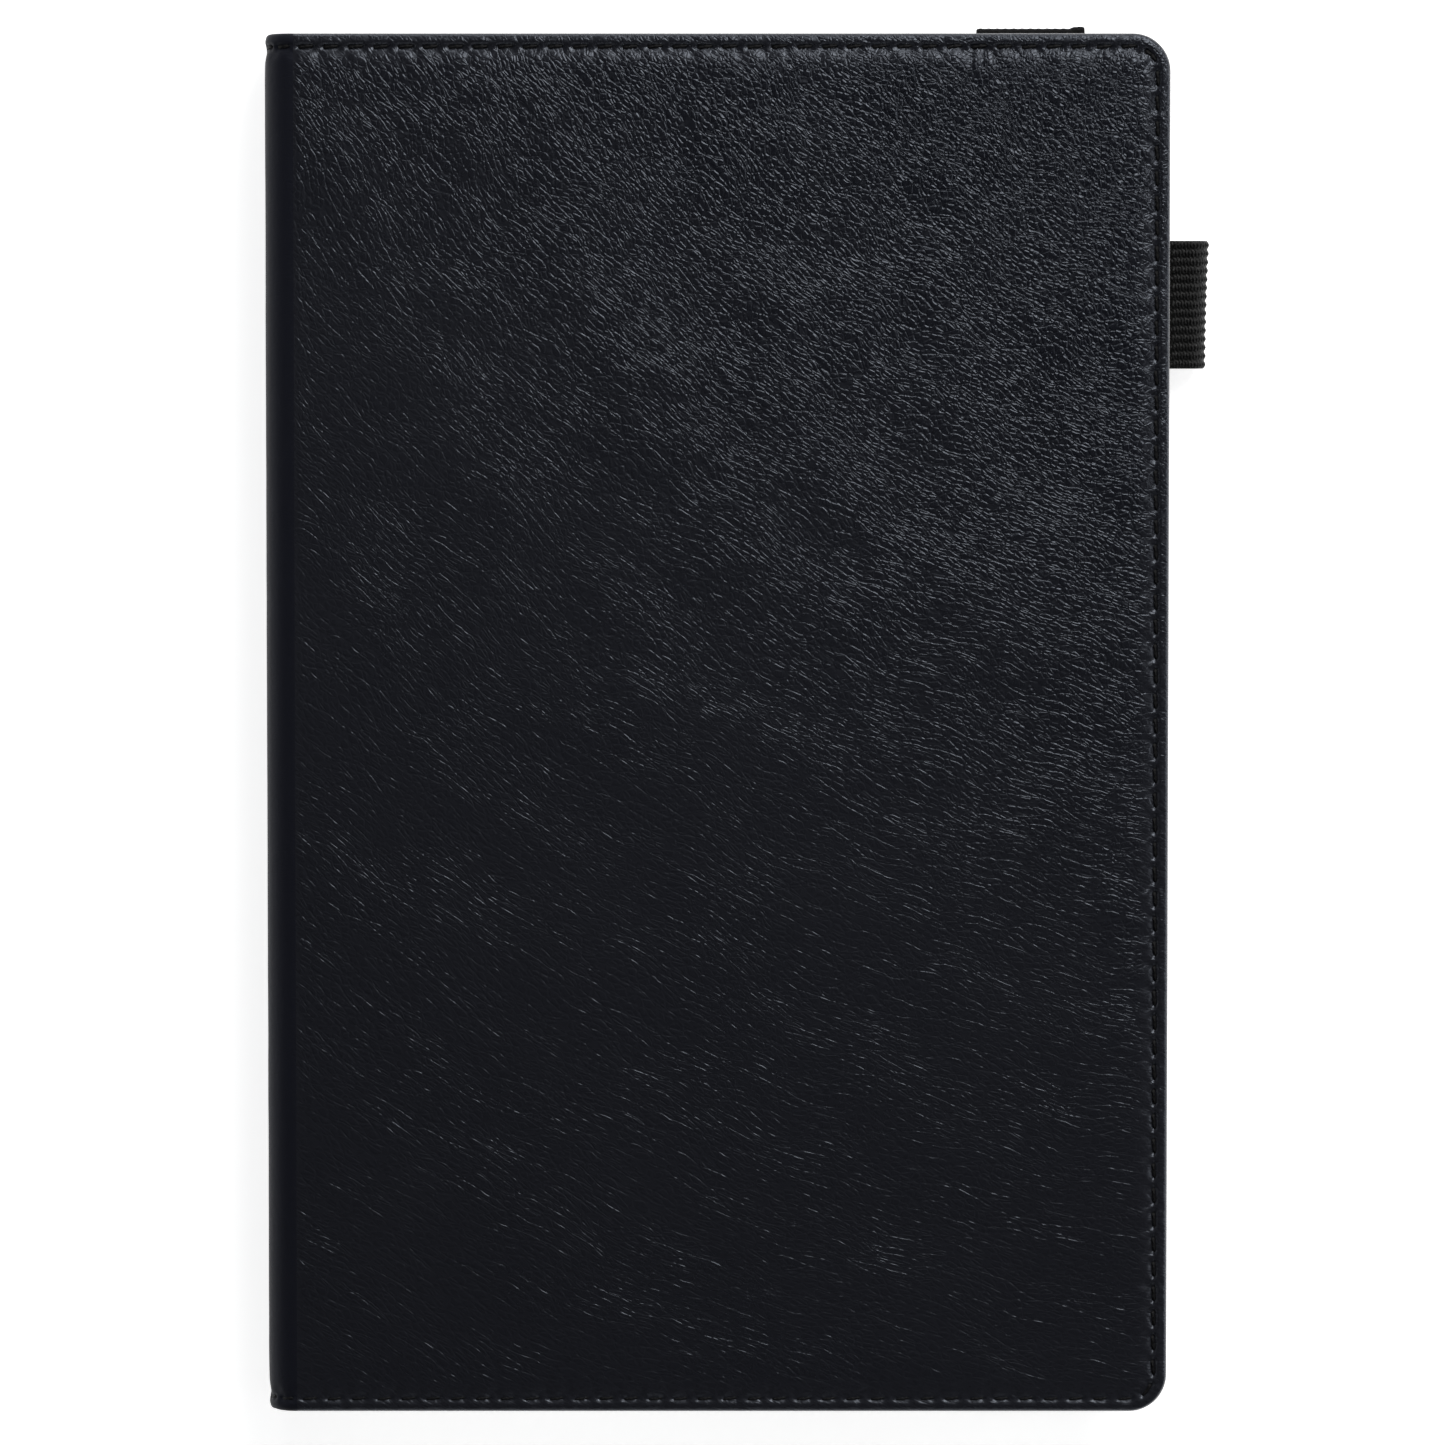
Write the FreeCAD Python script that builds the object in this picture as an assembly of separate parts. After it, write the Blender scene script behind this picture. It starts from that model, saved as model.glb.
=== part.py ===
"""Leather notebook cover, closed and lying on its back panel.

Two stiffened leather panels (back and front) are joined by a rounded leather
spine.  The leather is turned over the edges of a foam-faced board, lined on
the inside and lock-stitched all round.  The back panel carries a sleeve that
holds the back card of a refill pad, an elastic pen loop in its fore edge and
an elastic closure band; the front panel carries a document sleeve with three
card pockets.

Frame: X across the cover from spine to fore edge, Y along its height towards
the head, Z up out of the front panel.  Origin at the bottom centre of the
closed cover's bounding box.  Millimetres.
"""
import FreeCAD, Part
import math
import os

V = FreeCAD.Vector

# ---------------------------------------------------------------- dimensions
PANEL_W = 139.2          # crease to fore edge
PANEL_H = 220.0          # head to tail
TOTAL_T = 20.0           # closed thickness
CORNER_R = 6.0           # fore-edge corners
SPINE_R = 4.8            # outer radius of the rounded spine corners

LEATHER_T = 0.8
FOAM_T = 0.8
BOARD_T = 1.2
FLANGE_T = 0.5           # turned-in, skived leather and the infill card
LINING_T = 0.5
EDGE_WALL = 2.6          # folded leather outside the board
FLANGE_W = 14.0          # how far the leather is turned in
EDGE_ROUND = 1.3         # rounding of the turned edge

STITCH_IN = 2.1          # stitch line to edge
STITCH_PITCH = 3.92
STITCH_LEN = 3.1
THREAD_W = 0.5
THREAD_T = 0.28
GROOVE_W = 0.9
GROOVE_D = 0.32

SLOT = 0.6               # height of the slot under the back sleeve
SLEEVE_T = 0.6
SLEEVE_MOUTH = 60.0      # back sleeve mouth, from the crease
DOC_SLOT = 0.4           # height of the slot behind the front sleeve
DOC_MOUTH = 14.0
SEAM_W = 2.4

POCKET_T = 0.4
POCKET_STEP = 0.1
POCKET_X0, POCKET_X1 = 23.0, 119.0
POCKET_Y0 = -100.0
POCKET_TOPS = (-16.0, -31.0, -46.0)   # upper, middle, lower mouths

BAND_X0, BAND_X1 = 109.0, 126.4       # closure band, 17.4 mm elastic
BAND_T = 0.6
BAND_WRAP = 1.7          # how far it stands out where it turns over the edge
BAND_TAB = 8.0

LOOP_Y0, LOOP_Y1 = 56.85, 77.35       # pen loop, 20.5 mm elastic
LOOP_OUT = 7.2           # how far it stands out of the fore edge
LOOP_T = 0.75
LOOP_Z0, LOOP_Z1 = 0.1, 8.6
LOOP_R = 2.6             # rounding of its outer corners
LOOP_STAND = 0.1         # clearance to the turned edge
LOOP_TAIL = 2.2          # length sewn into the seam
LOOP_SEAM_Z = 2.05       # height of the seam

PAD_X0, PAD_X1 = 4.0, 134.0           # 130 x 210 mm refill pad
PAD_H = 210.0
PAD_CARD_T = 0.4
PAD_TOP = 13.0
TAPE_T = 0.2
TAPE_W = 12.0

HINGE_GAP = 0.3          # parting between a bending strip and the stiff spine wall

# ------------------------------------------------------------ derived levels
X_SHIFT = -((PANEL_W + LOOP_OUT) - SPINE_R) / 2.0     # bbox centre to x = 0
Z_FOAM = LEATHER_T
Z_BOARD = Z_FOAM + FOAM_T
Z_FLANGE = Z_BOARD + BOARD_T
Z_LINING = Z_FLANGE + FLANGE_T
Z_INNER = Z_LINING + LINING_T          # inner face of a panel
Z_SLEEVE = Z_INNER + SLOT              # underside of the back sleeve
Z_SLEEVE_TOP = Z_SLEEVE + SLEEVE_T
HH = PANEL_H / 2.0


def box(x0, x1, y0, y1, z0, z1):
    return Part.makeBox(x1 - x0, y1 - y0, z1 - z0, V(x0, y0, z0))


def outline(d, x0, z0, z1, x1=None):
    """Panel outline pulled in by d, open at x0 on the spine side, from z0 to z1."""
    xr = (PANEL_W if x1 is None else x1) - d
    yt = HH - d
    r = max(CORNER_R - d, 0.6)
    k = r * math.sin(math.pi / 4)
    pts = [V(x0, -yt, z0), V(xr - r, -yt, z0), V(xr - r + k, -yt + r - k, z0),
           V(xr, -yt + r, z0), V(xr, yt - r, z0), V(xr - r + k, yt - r + k, z0),
           V(xr - r, yt, z0), V(x0, yt, z0)]
    edges = [Part.LineSegment(pts[0], pts[1]).toShape(),
             Part.Arc(pts[1], pts[2], pts[3]).toShape(),
             Part.LineSegment(pts[3], pts[4]).toShape(),
             Part.Arc(pts[4], pts[5], pts[6]).toShape(),
             Part.LineSegment(pts[6], pts[7]).toShape(),
             Part.LineSegment(pts[7], pts[0]).toShape()]
    return Part.Face(Part.Wire(edges)).extrude(V(0, 0, z1 - z0))


def ring(d0, d1, x0, z0, z1):
    """Three-sided band between two inset outlines."""
    return outline(d0, x0, z0, z1).cut(outline(d1, x0 - 5, z0 - 1, z1 + 1))


def round_outer_edge(solid, z, r):
    """Rounds the solid's outer edge loop at height z, leaving the spine side."""
    picked = [e for e in solid.Edges
              if all(abs(v.Z - z) < 1e-6 for v in e.Vertexes)
              and e.BoundBox.XMax - e.BoundBox.XMin + e.BoundBox.YMax - e.BoundBox.YMin > 1
              and not (e.BoundBox.XMax < 1e-6)]
    return solid.makeFillet(r, picked)


def revolve_sector(cx, cy, r0, r1, z0, z1, a0, a1):
    """Ring sector about a vertical axis, angles in degrees."""
    face = Part.Face(Part.makePolygon([V(cx + r0, cy, z0), V(cx + r1, cy, z0),
                                       V(cx + r1, cy, z1), V(cx + r0, cy, z1),
                                       V(cx + r0, cy, z0)]))
    face.rotate(V(cx, cy, 0), V(0, 0, 1), a0)
    return face.revolve(V(cx, cy, 0), V(0, 0, 1), a1 - a0)


def panel_stitches(zmid, skip=None):
    """Short thread segments along the head, fore edge and tail seams at height zmid."""
    out = []
    z0, z1 = zmid - THREAD_T / 2, zmid + THREAD_T / 2
    n_side = int(round((PANEL_W - CORNER_R) / STITCH_PITCH))
    p = (PANEL_W - CORNER_R) / n_side
    for sy in (1, -1):
        yc = sy * (HH - STITCH_IN)
        for k in range(n_side):
            xc = (k + 0.5) * p
            if skip and skip[0] < xc + STITCH_LEN / 2 and xc - STITCH_LEN / 2 < skip[1]:
                continue
            out.append(box(xc - STITCH_LEN / 2, xc + STITCH_LEN / 2,
                           yc - THREAD_W / 2, yc + THREAD_W / 2, z0, z1))
    n_fore = int(round((PANEL_H - 2 * CORNER_R) / STITCH_PITCH))
    q = (PANEL_H - 2 * CORNER_R) / n_fore
    xc = PANEL_W - STITCH_IN
    for k in range(n_fore):
        yc = -HH + CORNER_R + (k + 0.5) * q
        out.append(box(xc - THREAD_W / 2, xc + THREAD_W / 2,
                       yc - STITCH_LEN / 2, yc + STITCH_LEN / 2, z0, z1))
    rc = CORNER_R - STITCH_IN
    for sy in (1, -1):
        for k in range(2):
            mid = 22.5 + 45 * k
            half = 17.0
            a0, a1 = mid - half, mid + half
            if sy < 0:
                a0, a1 = -a1, -a0
            out.append(revolve_sector(PANEL_W - CORNER_R, sy * (HH - CORNER_R),
                                      rc - THREAD_W / 2, rc + THREAD_W / 2, z0, z1, a0, a1))
    return out


def flip(shape):
    """Back-panel piece to front-panel piece: mirrored about mid thickness."""
    return shape.mirror(V(0, 0, TOTAL_T / 2), V(0, 0, 1))


# ------------------------------------------------------------------- panels
def leather_shell():
    body = outline(0, 0, 0, Z_LINING)
    body = round_outer_edge(body, 0.0, EDGE_ROUND)
    body = body.cut(outline(EDGE_WALL, -5, Z_FOAM, Z_FLANGE))
    body = body.cut(outline(FLANGE_W, -5, Z_FLANGE - 0.1, Z_LINING + 1))
    body = body.cut(ring(STITCH_IN - GROOVE_W / 2, STITCH_IN + GROOVE_W / 2, -1, -1, GROOVE_D))
    return body


def lining(groove=True):
    sheet = outline(0.7, 0, Z_LINING, Z_INNER)
    if groove:
        sheet = sheet.cut(ring(STITCH_IN - GROOVE_W / 2, STITCH_IN + GROOVE_W / 2,
                               -1, Z_INNER - GROOVE_D, Z_INNER + 1))
    return sheet


def foam():
    return outline(EDGE_WALL, 0.6, Z_FOAM, Z_BOARD)


def board():
    return outline(EDGE_WALL, 0.8, Z_BOARD, Z_FLANGE)


def infill():
    return outline(FLANGE_W, 0.8, Z_FLANGE, Z_LINING)


def band():
    """Flat run across the back, turned over head and tail, ends under the lining."""
    tab_z = Z_LINING - FLANGE_T
    solid = box(BAND_X0, BAND_X1, -HH - BAND_WRAP, HH + BAND_WRAP, 0, BAND_T)
    for s in (1, -1):
        y0, y1 = sorted((s * (HH + BAND_WRAP - BAND_T), s * (HH + BAND_WRAP)))
        solid = solid.fuse(box(BAND_X0, BAND_X1, y0, y1, 0, Z_LINING))
        y0, y1 = sorted((s * (HH - BAND_TAB), s * (HH + BAND_WRAP)))
        solid = solid.fuse(box(BAND_X0, BAND_X1, y0, y1, tab_z, Z_LINING))
    solid = solid.removeSplitter()
    picked = [e for e in solid.Edges
              if abs(abs(e.Vertexes[0].Y) - (HH + BAND_WRAP)) < 1e-6
              and abs(abs(e.Vertexes[-1].Y) - (HH + BAND_WRAP)) < 1e-6
              and e.BoundBox.XMax - e.BoundBox.XMin > 1]
    return solid.makeFillet(0.5, picked)


def rounded_tube(x0, x1, z0, z1, r_in, r_out, length):
    """Rounded-rectangle prism along Y; r_in rounds its x0 side, r_out its x1 side."""
    solid = box(x0, x1, 0, length, z0, z1)
    near = [e for e in solid.Edges if e.BoundBox.YLength > length - 1e-6
            and abs(e.BoundBox.XMin - x0) < 1e-6]
    solid = solid.makeFillet(r_in, near)
    far = [e for e in solid.Edges if e.BoundBox.YLength > length - 1e-6
           and abs(e.BoundBox.XMin - x1) < 1e-6]
    return solid.makeFillet(r_out, far)


def pen_loop_solid():
    """Loop of webbing with both tails laid together into the fore-edge seam."""
    length = LOOP_Y1 - LOOP_Y0
    x0, x1 = PANEL_W + LOOP_STAND, PANEL_W + LOOP_OUT
    loop = rounded_tube(x0, x1, LOOP_Z0, LOOP_Z1, 1.3, LOOP_R, length)
    tail = box(PANEL_W - LOOP_TAIL, x0 + 0.3, 0, length,
               LOOP_SEAM_Z - LOOP_T, LOOP_SEAM_Z + LOOP_T)
    loop = loop.fuse(tail).removeSplitter()
    hole = rounded_tube(x0 + LOOP_T, x1 - LOOP_T, LOOP_Z0 + LOOP_T, LOOP_Z1 - LOOP_T,
                        0.6, LOOP_R - LOOP_T, length + 2)
    hole.translate(V(0, -1, 0))
    loop = loop.cut(hole)
    loop.translate(V(0, LOOP_Y0, 0))
    return loop


def arch(x_off, z_off, r, t, y_half):
    """Spine skin: wall with two quarter rounds, t thick, ending on x = 0.

    x_off is the outer wall's x, z_off the outer surface's lowest z."""
    def face(xw, zo, rr):
        zt, zb = TOTAL_T - zo, zo
        k = rr * math.sin(math.pi / 4)
        return [V(0, 0, zb), V(xw + rr, 0, zb), V(xw + rr - k, 0, zb + rr - k), V(xw, 0, zb + rr),
                V(xw, 0, zt - rr), V(xw + rr - k, 0, zt - rr + k), V(xw + rr, 0, zt), V(0, 0, zt)]
    a, b = face(x_off, z_off, r), face(x_off + t, z_off + t, r - t)

    def half(p):
        e = []
        if (p[1] - p[0]).Length > 1e-6:
            e.append(Part.LineSegment(p[0], p[1]).toShape())
        e.append(Part.Arc(p[1], p[2], p[3]).toShape())
        e.append(Part.LineSegment(p[3], p[4]).toShape())
        e.append(Part.Arc(p[4], p[5], p[6]).toShape())
        if (p[7] - p[6]).Length > 1e-6:
            e.append(Part.LineSegment(p[6], p[7]).toShape())
        return e
    edges = half(a) + [Part.LineSegment(a[7], b[7]).toShape()] + half(b)[::-1] \
        + [Part.LineSegment(b[0], a[0]).toShape()]
    wire = Part.Wire(Part.__sortEdges__(edges))
    solid = Part.Face(wire).extrude(V(0, 2 * y_half, 0))
    solid.translate(V(0, -y_half, 0))
    return solid


def wall_stitches():
    """Thread along head and tail of the stiff spine wall."""
    out = []
    xo = -SPINE_R + GROOVE_D
    for s in (1, -1):
        yc = s * (HH - STITCH_IN)
        for zc in (TOTAL_T / 2 - 3.6, TOTAL_T / 2, TOTAL_T / 2 + 3.6):
            out.append(box(xo - THREAD_T, xo, yc - THREAD_W / 2, yc + THREAD_W / 2,
                           zc - 1.4, zc + 1.4))
    return out


def bend_stitches():
    """Thread around the lower bend, head and tail."""
    out = []
    r0 = SPINE_R - GROOVE_D
    r1 = r0 + THREAD_T
    for s in (1, -1):
        yc = s * (HH - STITCH_IN)
        y0, y1 = yc - THREAD_W / 2, yc + THREAD_W / 2
        for k in range(2):
            ring_ = Part.makeCylinder(r1, y1 - y0, V(0, y0, SPINE_R), V(0, 1, 0)).cut(
                Part.makeCylinder(r0, y1 - y0 + 2, V(0, y0 - 1, SPINE_R), V(0, 1, 0)))
            a0, a1 = math.radians(5 + 43 * k), math.radians(38 + 43 * k)
            c, far = V(0, 0, SPINE_R), 12.0
            wedge = Part.Face(Part.makePolygon([
                c, V(-far * math.sin(a0), 0, SPINE_R - far * math.cos(a0)),
                V(-far * math.sin(a1), 0, SPINE_R - far * math.cos(a1)), c])
            ).extrude(V(0, y1 - y0 + 2, 0))
            wedge.translate(V(0, y0 - 1, 0))
            out.append(ring_.common(wedge))
    return out


def pocket_seam_stitches(z0, z1):
    """Thread along the two sides and the foot of the card pockets."""
    out = []
    n = int((POCKET_TOPS[2] - POCKET_Y0 - 4) / STITCH_PITCH)
    for xc in (POCKET_X0 + 1.5, POCKET_X1 - 1.5):
        for k in range(n):
            yc = POCKET_Y0 + 3.5 + (k + 0.5) * STITCH_PITCH
            out.append(box(xc - THREAD_W / 2, xc + THREAD_W / 2,
                           yc - STITCH_LEN / 2, yc + STITCH_LEN / 2, z0, z1))
    m = int((POCKET_X1 - POCKET_X0 - 6) / STITCH_PITCH)
    x_first = (POCKET_X0 + POCKET_X1 - m * STITCH_PITCH) / 2
    for k in range(m):
        xc = x_first + (k + 0.5) * STITCH_PITCH
        yc = POCKET_Y0 + 1.5
        out.append(box(xc - STITCH_LEN / 2, xc + STITCH_LEN / 2,
                       yc - THREAD_W / 2, yc + THREAD_W / 2, z0, z1))
    return out


def build():
    nodes = {}

    # ---- back panel
    closure = band()
    loop = pen_loop_solid()
    back = leather_shell()
    # the band lies pressed into the back: the leather steps in over the foam
    back = back.fuse(box(BAND_X0 - 0.6, BAND_X1 + 0.6, -(HH - EDGE_WALL), HH - EDGE_WALL,
                         Z_FOAM - 0.2, Z_FOAM + BAND_T))
    back = back.cut(box(BAND_X0, BAND_X1, -HH - 1, HH + 1, -1, BAND_T))
    back = back.cut(closure).cut(loop)
    nodes["back_leather"] = back
    nodes["back_foam"] = foam().cut(box(BAND_X0 - 0.6, BAND_X1 + 0.6, -HH, HH,
                                        0, Z_FOAM + BAND_T))
    nodes["back_board"] = board()
    nodes["back_infill"] = infill()
    nodes["back_lining"] = lining()
    seam_z = Z_SLEEVE_TOP
    sleeve = outline(0.7, SLEEVE_MOUTH, Z_SLEEVE, Z_SLEEVE_TOP)
    sleeve = sleeve.fuse(ring(0.7, 0.7 + SEAM_W, SLEEVE_MOUTH, Z_INNER, Z_SLEEVE)
                         ).removeSplitter()
    sleeve = sleeve.cut(ring(STITCH_IN - GROOVE_W / 2, STITCH_IN + GROOVE_W / 2,
                             SLEEVE_MOUTH - 1, seam_z - GROOVE_D, seam_z + 1))
    nodes["back_sleeve"] = sleeve
    outer_thread = panel_stitches(GROOVE_D - THREAD_T / 2, skip=(BAND_X0, BAND_X1))
    inner_thread = [s for s in panel_stitches(Z_INNER - GROOVE_D + THREAD_T / 2)
                    if s.BoundBox.XMax < SLEEVE_MOUTH]
    inner_thread += [s for s in panel_stitches(seam_z - GROOVE_D + THREAD_T / 2)
                     if s.BoundBox.XMin > SLEEVE_MOUTH]
    nodes["back_stitching"] = Part.makeCompound(outer_thread + inner_thread)
    nodes["closure_band"] = closure
    nodes["pen_loop"] = loop

    # ---- refill pad held by its back card
    card = box(PAD_X0, PAD_X1 - 1.0, -PAD_H / 2 + 0.5, PAD_H / 2 - 0.5,
               Z_INNER + 0.1, Z_INNER + 0.1 + PAD_CARD_T)
    card = card.fuse(box(PAD_X0, PAD_X0 + TAPE_W, -PAD_H / 2 + 0.5, PAD_H / 2 - 0.5,
                         Z_INNER + 0.1, Z_SLEEVE_TOP + 0.1)).removeSplitter()
    nodes["refill_back_card"] = card
    nodes["refill_page_block"] = box(PAD_X0, PAD_X1, -PAD_H / 2, PAD_H / 2,
                                     Z_SLEEVE_TOP + 0.1, PAD_TOP)
    tape = box(PAD_X0 - TAPE_T, PAD_X0 + TAPE_W, -PAD_H / 2, PAD_H / 2,
               Z_INNER + 0.1, PAD_TOP + TAPE_T)
    tape = tape.cut(box(PAD_X0, PAD_X0 + TAPE_W + 1, -PAD_H, PAD_H, 0, PAD_TOP))
    nodes["refill_binding_tape"] = tape

    # ---- spine
    skin = arch(-SPINE_R, 0.0, SPINE_R, LEATHER_T, HH)
    for s in (1, -1):
        y0 = s * (HH - STITCH_IN) - GROOVE_W / 2
        cutter = arch(-SPINE_R - 0.5, -0.5, SPINE_R + 0.5, 0.5 + GROOVE_D, GROOVE_W / 2)
        cutter.translate(V(0, y0 + GROOVE_W / 2, 0))
        skin = skin.cut(cutter)
    half_gap = HINGE_GAP / 2
    reach = HH + 5
    nodes["spine_leather"] = skin.common(
        box(-10, 1, -reach, reach, SPINE_R + half_gap, TOTAL_T - SPINE_R - half_gap))
    bend = skin.common(box(-10, 0, -reach, reach, -1, SPINE_R - half_gap))
    nodes["back_hinge_leather"] = bend
    nodes["front_hinge_leather"] = flip(bend)
    nodes["spine_board"] = box(-SPINE_R + LEATHER_T, -SPINE_R + LEATHER_T + BOARD_T,
                               -(HH - EDGE_WALL), HH - EDGE_WALL, 5.2, TOTAL_T - 5.2)
    x_lin = -SPINE_R + LEATHER_T + BOARD_T          # lining's wall side
    inner = arch(x_lin, Z_LINING, -x_lin, LINING_T, HH - 0.7)
    z_bend = Z_LINING - x_lin                       # centre height of the lining's bend
    nodes["spine_lining"] = inner.common(
        box(-10, 1, -reach, reach, z_bend + half_gap, TOTAL_T - z_bend - half_gap))
    bend = inner.common(box(-10, 0, -reach, reach, -1, z_bend - half_gap))
    nodes["back_hinge_lining"] = bend
    nodes["front_hinge_lining"] = flip(bend)
    nodes["spine_stitching"] = Part.makeCompound(wall_stitches())
    turn = Part.makeCompound(bend_stitches())
    nodes["back_hinge_stitching"] = turn
    nodes["front_hinge_stitching"] = flip(turn)

    # ---- front panel
    nodes["front_leather"] = flip(leather_shell())
    nodes["front_foam"] = flip(foam())
    nodes["front_board"] = flip(board())
    nodes["front_infill"] = flip(infill())
    nodes["front_lining"] = flip(lining())
    zs0 = Z_INNER + DOC_SLOT
    zs1 = zs0 + SLEEVE_T
    doc = outline(0.7, DOC_MOUTH, zs0, zs1).fuse(
        ring(0.7, 0.7 + SEAM_W, DOC_MOUTH, Z_INNER, zs0)).removeSplitter()
    doc = doc.cut(ring(STITCH_IN - GROOVE_W / 2, STITCH_IN + GROOVE_W / 2,
                       DOC_MOUTH - 1, zs1 - GROOVE_D, zs1 + 1))
    nodes["front_sleeve"] = flip(doc)
    z = zs1
    for name, top in zip(("upper", "middle", "lower"), POCKET_TOPS):
        sheet = box(POCKET_X0, POCKET_X1, POCKET_Y0, top, z + POCKET_STEP, z + POCKET_STEP + POCKET_T)
        rim = box(POCKET_X0, POCKET_X1, POCKET_Y0, top, z, z + POCKET_STEP).cut(
            box(POCKET_X0 + 3, POCKET_X1 - 3, POCKET_Y0 + 3, top + 1, z - 1, z + 1))
        nodes["card_pocket_" + name] = flip(sheet.fuse(rim).removeSplitter())
        z += POCKET_STEP + POCKET_T
    nodes["pocket_stitching"] = flip(Part.makeCompound(pocket_seam_stitches(z, z + 0.2)))
    outer_thread = panel_stitches(GROOVE_D - THREAD_T / 2)
    inner_thread = [s for s in panel_stitches(Z_INNER - GROOVE_D + THREAD_T / 2)
                    if s.BoundBox.XMax < DOC_MOUTH]
    inner_thread += [s for s in panel_stitches(zs1 - GROOVE_D + THREAD_T / 2)
                     if s.BoundBox.XMin > DOC_MOUTH]
    nodes["front_stitching"] = flip(Part.makeCompound(outer_thread + inner_thread))
    return nodes


os.makedirs("parts", exist_ok=True)
for name, shape in build().items():
    shape.translate(V(X_SHIFT, 0, 0))
    shape.exportStep(os.path.join("parts", name + ".step"))
    print(name, len(shape.Solids), "solids", round(shape.Volume, 1), "mm3",
          "valid" if shape.isValid() else "INVALID")
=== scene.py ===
import math

import bpy
import numpy as np
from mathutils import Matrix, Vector


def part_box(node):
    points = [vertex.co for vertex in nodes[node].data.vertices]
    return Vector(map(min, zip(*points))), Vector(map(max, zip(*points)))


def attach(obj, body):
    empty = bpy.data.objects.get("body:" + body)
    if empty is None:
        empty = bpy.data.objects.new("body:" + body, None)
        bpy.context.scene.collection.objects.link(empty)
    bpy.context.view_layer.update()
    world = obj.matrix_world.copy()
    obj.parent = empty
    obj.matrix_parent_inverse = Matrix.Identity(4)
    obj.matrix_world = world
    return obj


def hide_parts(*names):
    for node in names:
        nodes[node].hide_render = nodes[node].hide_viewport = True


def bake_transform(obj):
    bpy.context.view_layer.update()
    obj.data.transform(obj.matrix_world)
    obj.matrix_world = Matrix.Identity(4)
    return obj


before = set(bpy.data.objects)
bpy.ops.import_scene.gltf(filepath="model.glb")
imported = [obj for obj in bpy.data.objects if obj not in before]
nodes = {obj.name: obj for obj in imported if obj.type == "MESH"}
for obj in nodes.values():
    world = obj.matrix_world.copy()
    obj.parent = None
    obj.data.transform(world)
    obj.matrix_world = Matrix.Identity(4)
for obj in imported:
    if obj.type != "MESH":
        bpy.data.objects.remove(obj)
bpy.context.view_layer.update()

# ---------------------------------------------------------------- dimensions
lo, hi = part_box("front_leather")
SX = lo.x * 1000.0                    # crease line, mm
W = (hi.x - lo.x) * 1000.0            # crease to fore edge
HH = hi.y * 1000.0                    # half height
T = hi.z * 1000.0                     # closed thickness
R = 6.0
SR = -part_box("spine_leather")[0].x * 1000.0 + SX    # spine corner radius
Z_LIN = 3.3
Z_IN = 3.8
SEAM = 2.1
RNG = np.random.default_rng(7)

L1 = W - R
RS = R - SEAM
LA = RS * math.pi / 2
LF = 2 * (HH - R)
LTOT = 2 * L1 + 2 * LA + LF
N_ST = int(round(LTOT / 3.95))
PITCH = LTOT / N_ST


# ------------------------------------------------------------------- helpers
def smooth(a, b, x):
    t = np.clip((x - a) / (b - a), 0, 1)
    return t * t * (3 - 2 * t)


def vnoise(x, y, seed):
    """Value noise, about -1 to 1, one lattice cell per unit."""
    rng = np.random.default_rng(seed)
    tab = rng.uniform(-1, 1, (256, 256))
    xi, yi = np.floor(x).astype(int), np.floor(y).astype(int)
    fx, fy = x - xi, y - yi
    fx, fy = fx * fx * (3 - 2 * fx), fy * fy * (3 - 2 * fy)
    a, b = tab[xi % 256, yi % 256], tab[(xi + 1) % 256, yi % 256]
    c, d = tab[xi % 256, (yi + 1) % 256], tab[(xi + 1) % 256, (yi + 1) % 256]
    return (a * (1 - fx) + b * fx) * (1 - fy) + (c * (1 - fx) + d * fx) * fy


def lines(a, b, step, fine=0.0, at_a=False, at_b=False, reach=5.0):
    """Positions from a to b, closer together near the ends asked for."""
    out = []
    s = a
    while s < b - 1e-6:
        out.append(s)
        near = (at_a and s < a + reach) or (at_b and s > b - reach)
        s += fine if near else step
    if b - out[-1] < 0.3 * (fine if at_b else step):
        out[-1] = b
    else:
        out.append(b)
    return np.array(out)


def quads(ni, nj, off=0, flip=False):
    i, j = np.meshgrid(np.arange(ni - 1), np.arange(nj - 1), indexing="ij")
    a = off + i * nj + j
    q = np.stack([a, a + nj, a + nj + 1, a + 1], -1).reshape(-1, 4)
    return q[:, ::-1] if flip else q


def rim(ni, nj):
    """Indices round the border of a grid, counter-clockwise seen from +normal."""
    a = [i * nj for i in range(ni)]
    b = [(ni - 1) * nj + j for j in range(1, nj)]
    c = [i * nj + nj - 1 for i in range(ni - 2, -1, -1)]
    d = [j for j in range(nj - 2, 0, -1)]
    return np.array(a + b + c + d)


def mesh(name, verts, faces, material, body=None, slot=None, replaces=(), grain=None,
         sharp=42.0):
    """verts in mm measured from the crease line."""
    v = np.asarray(verts, float).reshape(-1, 3).copy()
    v[:, 0] += SX
    v *= 0.001
    me = bpy.data.meshes.new(name)
    me.from_pydata(v.tolist(), [], [list(map(int, f)) for f in faces])
    me.validate()
    me.update()
    if grain is not None:
        at = me.attributes.new("grain", "FLOAT_VECTOR", "POINT")
        at.data.foreach_set("vector", np.asarray(grain, np.float32).reshape(-1))
    me.polygons.foreach_set("use_smooth", [True] * len(me.polygons))
    me.set_sharp_from_angle(angle=math.radians(sharp))
    me.materials.append(material)
    ob = bpy.data.objects.new(name, me)
    bpy.context.scene.collection.objects.link(ob)
    if replaces:
        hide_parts(*replaces)
    if body:
        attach(ob, body)
    return ob


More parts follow.
